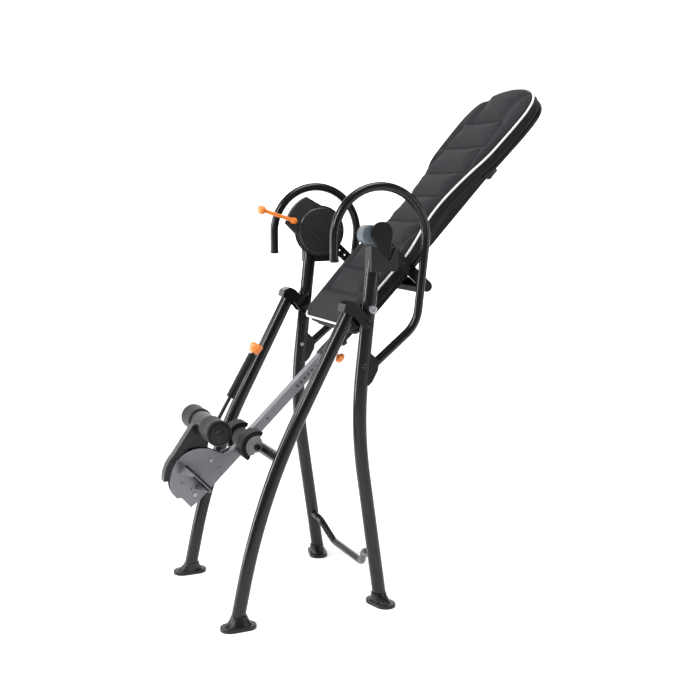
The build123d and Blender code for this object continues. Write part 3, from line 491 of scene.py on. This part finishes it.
def build_pad():
    bm = bmesh.new()
    levels = [
        (PAD_BASE, 14.0), (PAD_BASE + 2, 6.0), (-40, 3.0), (-28, 2.0), (-14, 2.0), (-3, 4.0), (3.0, 8.0),
        (9.0, 13.0), (14.5, 22.0), (18.5, 34.0), (CROWN, 58.0),
    ]
    rings = []
    for n, inset in levels:
        rings.append([bm.verts.new(pad_point(x, s, n)) for x, s in rim(inset, 12.0)])
    for a, b in zip(rings, rings[1:]):
        for i in range(len(a)):
            j = (i + 1) % len(a)
            bm.faces.new((a[i], a[j], b[j], b[i]))
    bm.faces.new(rings[0][::-1])
    bm.faces.new(rings[-1])
    pad = finish_mesh(bm, "pad_cushion", "pad_cloth", "bed")
    remesh = pad.modifiers.new("remesh", "REMESH")
    remesh.mode = "VOXEL"
    remesh.voxel_size = 0.006
    bake(pad)
    return pad


def bake(obj):
    """Replaces a mesh by its evaluated form and drops the modifiers."""
    graph = bpy.context.evaluated_depsgraph_get()
    graph.update()
    shaped = bpy.data.meshes.new_from_object(obj.evaluated_get(graph))
    old = obj.data
    materials = list(old.materials)
    obj.modifiers.clear()
    obj.data = shaped
    shaped.materials.clear()
    for mat in materials:
        shaped.materials.append(mat)
    bpy.data.meshes.remove(old)


pad = build_pad()
edge_points = rim(0.0, 8.0)


def puff(obj):
    """First form of the sewn blocks: rounded rises between the channels."""
    for v in obj.data.vertices:
        x, s, n = pad_coords(v.co)
        if n < 2:
            continue
        d = channel_distance(x, s)
        rise = 13.0 * (1 - math.exp(-((d / 19.0) ** 2))) - 9.0
        share = min(1.0, max(0.0, (n - 2) / 10.0))
        v.co += PAD_N * rise * share * MM


puff(pad)
rest = [v.co.copy() for v in pad.data.vertices]
hold = pad.vertex_groups.new(name="hold")
for v in pad.data.vertices:
    x, s, n = pad_coords(v.co)
    if n < -44:
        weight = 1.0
    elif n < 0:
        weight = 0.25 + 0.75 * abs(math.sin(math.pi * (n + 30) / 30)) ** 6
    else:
        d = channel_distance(x, s)
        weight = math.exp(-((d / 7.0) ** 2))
        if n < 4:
            weight = 1.0
    hold.add([v.index], max(0.0, min(1.0, weight)), "REPLACE")
cloth = pad.modifiers.new("cloth", "CLOTH")
cloth.settings.quality = 4
cloth.settings.mass = 0.25
cloth.settings.tension_stiffness = 18
cloth.settings.compression_stiffness = 18
cloth.settings.bending_stiffness = 0.6
cloth.settings.use_pressure = True
cloth.settings.uniform_pressure_force = 4.0
cloth.settings.vertex_group_mass = "hold"
cloth.settings.pin_stiffness = 1.0
cloth.settings.effector_weights.gravity = 0
cloth.collision_settings.use_collision = False
cloth.point_cache.frame_start = 1
cloth.point_cache.frame_end = 20
scene = bpy.context.scene
for f in range(1, 21):
    scene.frame_set(f)
bake(pad)
limit = 0.009
for v, start in zip(pad.data.vertices, rest):
    move = v.co - start
    if move.length > limit:
        v.co = start + move * (limit / move.length)
scene.frame_set(1)

sub = pad.modifiers.new("sub", "SUBSURF")
sub.levels = sub.render_levels = 1
bake(pad)


def carve(obj):
    """Sews the channels and the side seam into the cover."""
    for v in obj.data.vertices:
        x, s, n = pad_coords(v.co)
        if n > 3:
            d = channel_distance(x, s)
            v.co -= PAD_N * 5.5 * math.exp(-((d / 4.2) ** 2)) * MM
        elif -36 < n < -20:
            k = math.exp(-(((n + 28) / 1.9) ** 2))
            inward = Vector((-x, 0, 0)).normalized() if abs(x) > 5 else Vector((0, 0, 0))
            v.co += inward * 1.6 * k * MM


carve(pad)
pad.data.shade_smooth()
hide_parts("pad")

# piping round the top edge and a finer welt on the side seam
bm = bmesh.new()
tube_into(bm, [pad_point(x, s, -0.5) for x, s in rim(0.5, 8.0)], 4.2, 12, closed=True)
finish_mesh(bm, "pad_piping", "piping_white", "bed", sharp=80)
bm = bmesh.new()
tube_into(bm, [pad_point(x, s, -29.0) for x, s in rim(1.2, 10.0)], 1.1, 8, closed=True)
finish_mesh(bm, "pad_side_welt", "pad_cloth", "bed", sharp=80)

# stitches beside the channels
surface_tree = BVHTree.FromObject(pad, bpy.context.evaluated_depsgraph_get())
bm = bmesh.new()
for line in LINES:
    walk = dense(line, 3.0)
    for i in range(0, len(walk) - 2, 2):
        ends = []
        for x, s in (walk[i], walk[i + 1]):
            hit = surface_tree.ray_cast(pad_point(x, s, 80), -PAD_N, 0.12)
            if hit[0] is not None:
                ends.append(hit[0] + PAD_N * 0.0002)
        if len(ends) == 2 and (ends[0] - ends[1]).length > 1e-4:
            tube_into(bm, ends, 0.45, 5)
finish_mesh(bm, "pad_stitching", "thread", "bed", sharp=80)

# ------------------------------------------------------------ metal and plastic details
X_AXIS = Vector((1, 0, 0))
ROD_LOW, ROD_HIGH = boom_point(-110, 127, -45), boom_point(166, 207.5, -45)
ROD = (ROD_HIGH - ROD_LOW).normalized()


def turned(name, profile, at, direction, key, body, steps=64, wave=None, stands_for=()):
    bm = bmesh.new()
    lathe_into(bm, profile, at, direction, steps, wave)
    made = finish_mesh(bm, name, key, body, sharp=35)
    if stands_for:
        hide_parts(*stands_for)
    return made


# palm button with moulded grip ribs, flared towards its top
button_ribs = lambda a, h: 0.13 * (abs(math.sin(a * 8)) ** 0.7 - 1) * min(1, (h - 5) / 6) if 5 < h < 37 else 0.0
turned(
    "palm_button",
    [(13, 0), (19, 0), (20, 1), (20, 4), (19.6, 5), (20.2, 6), (21.6, 10), (23, 15), (24.2, 21), (25, 27), (25.2, 31),
     (24.6, 34.5), (22.6, 37), (18, 38.4), (9, 38.8)],
    ROD_LOW + ROD * 0.267, ROD, "orange_plastic", "release_button", 120, button_ribs, stands_for=("release_button",),
)

# foam grip with soft ends and shallow finger rings
rings = [(8, 0), (12, 0.2), (14.2, 1.6), (15, 4)]
rings += [(15.0 - 0.7 * math.exp(-(((h - 30) % 26 - 13) / 1.6) ** 2), h) for h in range(8, 181, 2)]
rings += [(15, 183), (14.2, 185.6), (12, 186.8), (8, 187)]
turned("foam_grip", rings, ROD_LOW + ROD * 0.075, ROD, "grip_foam", "roller_arm", 48, stands_for=("lever_grip",))

# ankle rollers: skinned foam with rounded shoulders and a recessed end disc
for side, sign in (("right", 1), ("left", -1)):
    crowned = [(7, 0), (30, 0), (40, 0.6), (45, 3), (47.3, 7), (48, 12)]
    crowned += [(48 - 0.9 * math.sin(math.pi * (h - 12) / 91) - 0.5 * math.exp(-(((h - 57.5) / 40) ** 2)), h) for h in range(16, 101, 4)]
    crowned += [(48, 103), (47.3, 108), (45, 112), (41, 114.3), (38.5, 115), (37.5, 114), (35, 113.6), (14, 113.6), (7, 113.6)]
    turned(
        f"ankle_roller_{side}", crowned, boom_point(-178, 161, sign * 62), X_AXIS * sign, "foam_grey",
        f"foam_roller_{side}", 72, stands_for=(f"foam_roller_{side}",),
    )
    turned(
        f"roller_end_cap_{side}", [(3, 113), (34, 113), (35.5, 114), (35.5, 115.2), (34, 116.4), (15, 117.2), (13, 119.2), (4, 119.8)],
        boom_point(-178, 161, sign * 62), X_AXIS * sign, "black_plastic", "roller_arm", 40,
    )

# D-shaped end plates and their knobs on the rear cups
for side, sign in (("right", 1), ("left", -1)):
    bm = bmesh.new()
    for x0, x1, grow in ((113.6, 118.6, 0.0), (118.6, 119.8, -1.6)):
        loop = []
        for i in range(41):
            a = math.radians(14 + 184 * i / 40)
            loop.append((math.cos(a) * (34 + grow), math.sin(a) * (34 + grow)))
        for i in range(9):
            a = math.radians(206 + 128 * i / 8)
            loop.append((math.cos(a) * (22 + grow), math.sin(a) * (20 + grow)))
        low = [bm.verts.new(boom_point(-114 + p, -6 + q, sign * x0)) for p, q in loop]
        high = [bm.verts.new(boom_point(-114 + p, -6 + q, sign * x1)) for p, q in loop]
        for i in range(len(low)):
            j = (i + 1) % len(low)
            bm.faces.new((low[i], low[j], high[j], high[i]))
        bm.faces.new(low[::-1])
        bm.faces.new(high)
    finish_mesh(bm, f"cup_end_plate_{side}", "carrier_grey", "ankle_cups", sharp=30)
    turned(
        f"cup_knob_{side}", [(4, 0), (12, 0), (12.8, 1.5), (12.5, 7), (10.5, 10), (6, 11.4), (2, 11.8)],
        boom_point(-114, -6, sign * 119.0), X_AXIS * sign, "black_plastic", "ankle_cups", 48,
        wave=lambda a, h: 0.03 * math.cos(8 * a) if 1 < h < 9 else 0.0,
    )

# star knob of the boom's selector pin
turned(
    "selector_star", [(4, -27), (4, -2), (8, -2), (9, 0), (12, 2), (15, 5), (16.2, 10), (15.8, 17), (13.5, 22), (9, 25), (3, 26)],
    boom_point(371, -48.5, 0), -BOOM_N, "orange_plastic", "selector_knob", 96,
    wave=lambda a, h: 0.24 * math.cos(2 * a) + 0.05 * math.cos(6 * a) if h > 3 else 0.0, stands_for=("selector_knob",),
)

# locking knob on the sleeve's side
bm = bmesh.new()
lathe_into(bm, [(5, 0), (5, 10), (11, 11), (14, 13), (14.5, 17), (13.5, 24), (9, 27), (3, 28)], boom_point(416, -8, 22.5), X_AXIS, 60,
           lambda a, h: 0.07 * math.cos(5 * a) if h > 10 else 0.0)
finish_mesh(bm, "sleeve_knob", "black_plastic", "bed")

# stop block under the head end of the board, and the cover's sewn-in care tag
def block(name, middle, half, key, body, soften):
    """Softened block in the pad frame: middle is (x, s, n) and half its half sizes in mm."""
    bm = bmesh.new()
    bmesh.ops.create_cube(bm, size=2)
    for v in bm.verts:
        v.co = pad_point(middle[0] + v.co.x * half[0], middle[1] + v.co.y * half[1], middle[2] + v.co.z * half[2])
    bmesh.ops.bevel(bm, geom=bm.edges[:], offset=soften * MM, segments=3, profile=0.5, affect="EDGES")
    return finish_mesh(bm, name, key, body)


for side, sign in (("right", 1), ("left", -1)):
    block(f"board_stop_{side}", (sign * 140, 862, -79), (13, 26, 19), "black_plastic", "bed", 3)
tag_at = pad_coords(side_point(617.6, 1358.7, 100))
block("care_tag", tag_at, (7, 16, 1.2), "carrier_grey", "bed", 0.5)

# black discs with a thin lip sunk just inside the boom's selector holes: painted shade standing in for the dark hollow
# inside each hole
BOOM_SIDE = 19.0
bm = bmesh.new()
for sign in (1, -1):
    for i in range(22):
        lathe_into(bm, [(0.5, -0.6), (5.4, -0.6), (6.6, 0.15), (7.2, 0.15), (7.2, -0.3)], boom_point(170 + 21 * i, 0, sign * BOOM_SIDE), X_AXIS * sign, 20)
finish_mesh(bm, "selector_hole_painted_shade", "bolt_black", "boom", sharp=30)

# ribbed rubber cover on each step
for side, sign in (("right", 1), ("left", -1)):
    bm = bmesh.new()
    for i in range(7):
        level = 29.0 + 13.83 * i
        ends = [boom_point(-345.0 - 9.4, level, sign * x) for x in (27.0, 146.0)]
        tube_into(bm, ends, 2.2, 10)
    finish_mesh(bm, f"step_ribs_{side}", "rubber_black", "boom", sharp=60)

# hexagon heads over the plain CAD heads
for side, sign in (("right", 1), ("left", -1)):
    bm = bmesh.new()
    lathe_into(bm, [(6, 0), (13.5, 0), (14, 0.7), (13.4, 1.8), (6, 1.9)], side_point(224, 1079, sign * 338.4), X_AXIS * sign, 40)
    finish_mesh(bm, f"hinge_washer_{side}", "bolt_black", "base", sharp=30)
    bm = bmesh.new()
    hex_head_into(bm, side_point(224, 1079, sign * 340.0), X_AXIS * sign, 19, 8.0)
    lathe_into(bm, [(4.6, 7.6), (4.6, 11), (4.0, 12)], side_point(224, 1079, sign * 340.0), X_AXIS * sign, 24)
    finish_mesh(bm, f"hinge_nut_{side}", "bolt_black", "base", sharp=30)
    bm = bmesh.new()
    hex_head_into(bm, side_point(480, 1199, sign * 272.2), X_AXIS * sign, 15, 9.0, washer=11)
    finish_mesh(bm, f"arm_nut_{side}", "bolt_black", "bed", sharp=30)
    bm = bmesh.new()
    hex_head_into(bm, side_point(209, 924, sign * 333.2), X_AXIS * sign, 13, 7.0, washer=9.5)
    finish_mesh(bm, f"saddle_nut_{side}", "bolt_black", "base", sharp=30)
    turned(
        f"pull_knob_{side}",
        [(3.9, -52), (3.9, 7), (8, 7.8), (12, 8.2), (15.4, 9.2), (16, 10.5), (16, 15.5), (14.8, 17.4), (11.5, 18), (11, 17), (4, 16.6)],
        side_point(237, 1131, sign * 333.4), X_AXIS * sign, "bright_steel", f"lock_knob_{side}", 90,
        wave=lambda a, h: 0.018 * math.cos(30 * a) if 9 < h < 16.5 else 0.0, stands_for=(f"lock_knob_{side}",),
    )


def ring_weld(name, at, direction, major, body, minor=2.2, squash=1.0):
    """Rippled weld bead round a joint."""
    turn = axes_to(direction)
    points = []
    for i in range(72):
        a = 2 * math.pi * i / 72
        points.append(at + (turn @ Vector((major * math.cos(a), major * squash * math.sin(a), 0))) * MM)
    bm = bmesh.new()
    tube_into(bm, points, minor, 8, closed=True)
    for v in bm.verts:
        v.co += (v.co - at).normalized() * random.uniform(-0.25, 0.25) * MM
    finish_mesh(bm, name, "weld", body, sharp=80)


for side, sign in (("right", 1), ("left", -1)):
    ring_weld(f"weld_front_bar_{side}", boom_point(-100, -43.4, sign * 282), X_AXIS, 21.6, "front_frame")
    ring_weld(f"weld_rear_bar_{side}", side_point(262, 187, sign * 282.0), X_AXIS, 14.4, "base")
    ring_weld(f"weld_cross_{side}", side_point(480, 1199, sign * 262.0), X_AXIS, 21, "bed", 1.8)

CREASE = [(219.8, 1407.8), (242.3, 1387.1), (264.8, 1366.4), (287.4, 1345.6), (309.9, 1324.9)]
# orange boss over the brake lever's pin
pin = nodes["brake_lever_pin"]
pin_points = [pin.matrix_world @ v.co for v in pin.data.vertices]
pin_low = Vector([min(p[i] for p in pin_points) for i in range(3)])
pin_high = Vector([max(p[i] for p in pin_points) for i in range(3)])
pin_end = Vector((pin_high.x - 0.5 * MM, (pin_low.y + pin_high.y) / 2, (pin_low.z + pin_high.z) / 2))
turned("lever_boss", [(4, -2), (8.5, -2), (9, -1), (8.8, 1.2), (6, 2.6), (1, 3)], pin_end, X_AXIS, "orange_plastic", "brake_lever", 40)

# front crossbar, coped to the insides of the legs
turned(
    "coped_front_bar", [(18, 0), (20.6, 0), (21, 0.4), (21, 284), (21, 567.6), (20.6, 568), (18, 568)],
    boom_point(-100, -43.4, -284), X_AXIS, "black_frame", "front_frame", 48, stands_for=("front_crossbar",),
)

# moulded rib across the brake cover and its fixing screws
bm = bmesh.new()
tube_into(bm, [side_point(y, z, -252.9) for y, z in CREASE], 2.4, 10)
finish_mesh(bm, "brake_cover_rib", "cover_grey", "base", sharp=60)
bm = bmesh.new()
for angle in (-12, 62, 100, 176, 238):
    at = side_point(285 + 97 * math.cos(math.radians(angle)), 1390 + 97 * math.sin(math.radians(angle)), -258.0)
    lathe_into(bm, [(1.5, 0), (5, 0), (5, 1), (4.2, 2.2), (2.2, 2.6), (1.8, 1.4), (0.6, 1.4)], at, X_AXIS, 24)
finish_mesh(bm, "brake_cover_screws", "bolt_black", "base", sharp=30)

# ------------------------------------------------------------ studio and camera
def stage_material(name, glow):
    mat, tree, bsdf = new_material(name)
    noise = node(tree, "ShaderNodeTexNoise", Scale=3.0, Detail=2.0)
    ramp = node(tree, "ShaderNodeValToRGB")
    ramp.color_ramp.elements[0].color = (0.82, 0.82, 0.82, 1)
    ramp.color_ramp.elements[1].color = (0.825, 0.825, 0.825, 1)
    tree.links.new(noise.outputs["Fac"], ramp.inputs["Fac"])
    tree.links.new(ramp.outputs["Color"], bsdf.inputs["Base Color"])
    bsdf.inputs["Roughness"].default_value = 0.95
    bsdf.inputs["Specular IOR Level"].default_value = 0.0
    bsdf.inputs["Emission Color"].default_value = (1, 1, 1, 1)
    bsdf.inputs["Emission Strength"].default_value = glow
    return mat


def stage_mesh(name, vertices, faces, material):
    mesh = bpy.data.meshes.new(name)
    mesh.from_pydata(vertices, [], faces)
    mesh.materials.append(material)
    obj = bpy.data.objects.new(name, mesh)
    bpy.context.scene.collection.objects.link(obj)


RING = 64
disc = [(30 * math.cos(2 * math.pi * i / RING), 30 * math.sin(2 * math.pi * i / RING), -0.0005) for i in range(RING)]
stage_mesh("studio_floor", disc, [tuple(range(RING))], stage_material("studio_floor", 0.52))

# pale wall behind the object, an arc opposite the camera that meets the floor
AZIMUTH = math.radians(65.893)
PITCH = math.radians(8.466)
arc = []
for i in range(33):
    turn = AZIMUTH + math.pi / 2 + math.radians(-52 + 104 * i / 32)
    arc.append((9.0 * math.cos(turn), 9.0 * math.sin(turn)))
wall = [(x, y, z) for x, y in arc for z in (-0.01, 7.0)]
stage_mesh("studio_wall", wall, [(2 * i, 2 * i + 2, 2 * i + 3, 2 * i + 1) for i in range(32)], stage_material("studio_wall", 0.95))


def area(name, at, aim, size, power):
    light = bpy.data.lights.new(name, "AREA")
    light.shape = "RECTANGLE"
    light.size, light.size_y = size
    light.energy = power
    obj = bpy.data.objects.new(name, light)
    obj.location = at
    obj.rotation_euler = (Vector(at) - Vector(aim)).to_track_quat("Z", "Y").to_euler()
    bpy.context.scene.collection.objects.link(obj)


area("key", (1.3, -3.6, 3.6), (0, 0, 1.0), (0.9, 2.2), 150)
area("fill_left", (-1.6, -4.0, 1.6), (0, 0, 1.0), (0.7, 3.0), 150)
area("strip_right", (2.6, 2.9, 1.9), (0, 0, 1.0), (0.4, 2.6), 34)
area("top", (0.4, 0.2, 4.4), (0, 0, 0.5), (2.2, 2.2), 95)

world = bpy.data.worlds.new("studio")
bpy.context.scene.world = world
world.use_nodes = True
world.node_tree.nodes["Background"].inputs["Color"].default_value = (1, 1, 1, 1)
world.node_tree.nodes["Background"].inputs["Strength"].default_value = 0.13
bpy.context.scene.view_settings.view_transform = "Standard"

back = Vector((math.sin(AZIMUTH) * math.cos(PITCH), -math.cos(AZIMUTH) * math.cos(PITCH), math.sin(PITCH)))
right = Vector((math.cos(AZIMUTH), math.sin(AZIMUTH), 0))
up = back.cross(right)
camera_data = bpy.data.cameras.new("camera")
camera_data.sensor_width = 36.0
camera_data.lens = 1071.54 / 700 * 36.0
camera = bpy.data.objects.new("camera", camera_data)
place = Matrix((right, up, back)).transposed().to_4x4()
place.translation = Vector((3.816, -1.406 - CENTRE_Y, 1.554))
camera.matrix_world = place
bpy.context.scene.collection.objects.link(camera)
bpy.context.scene.camera = camera
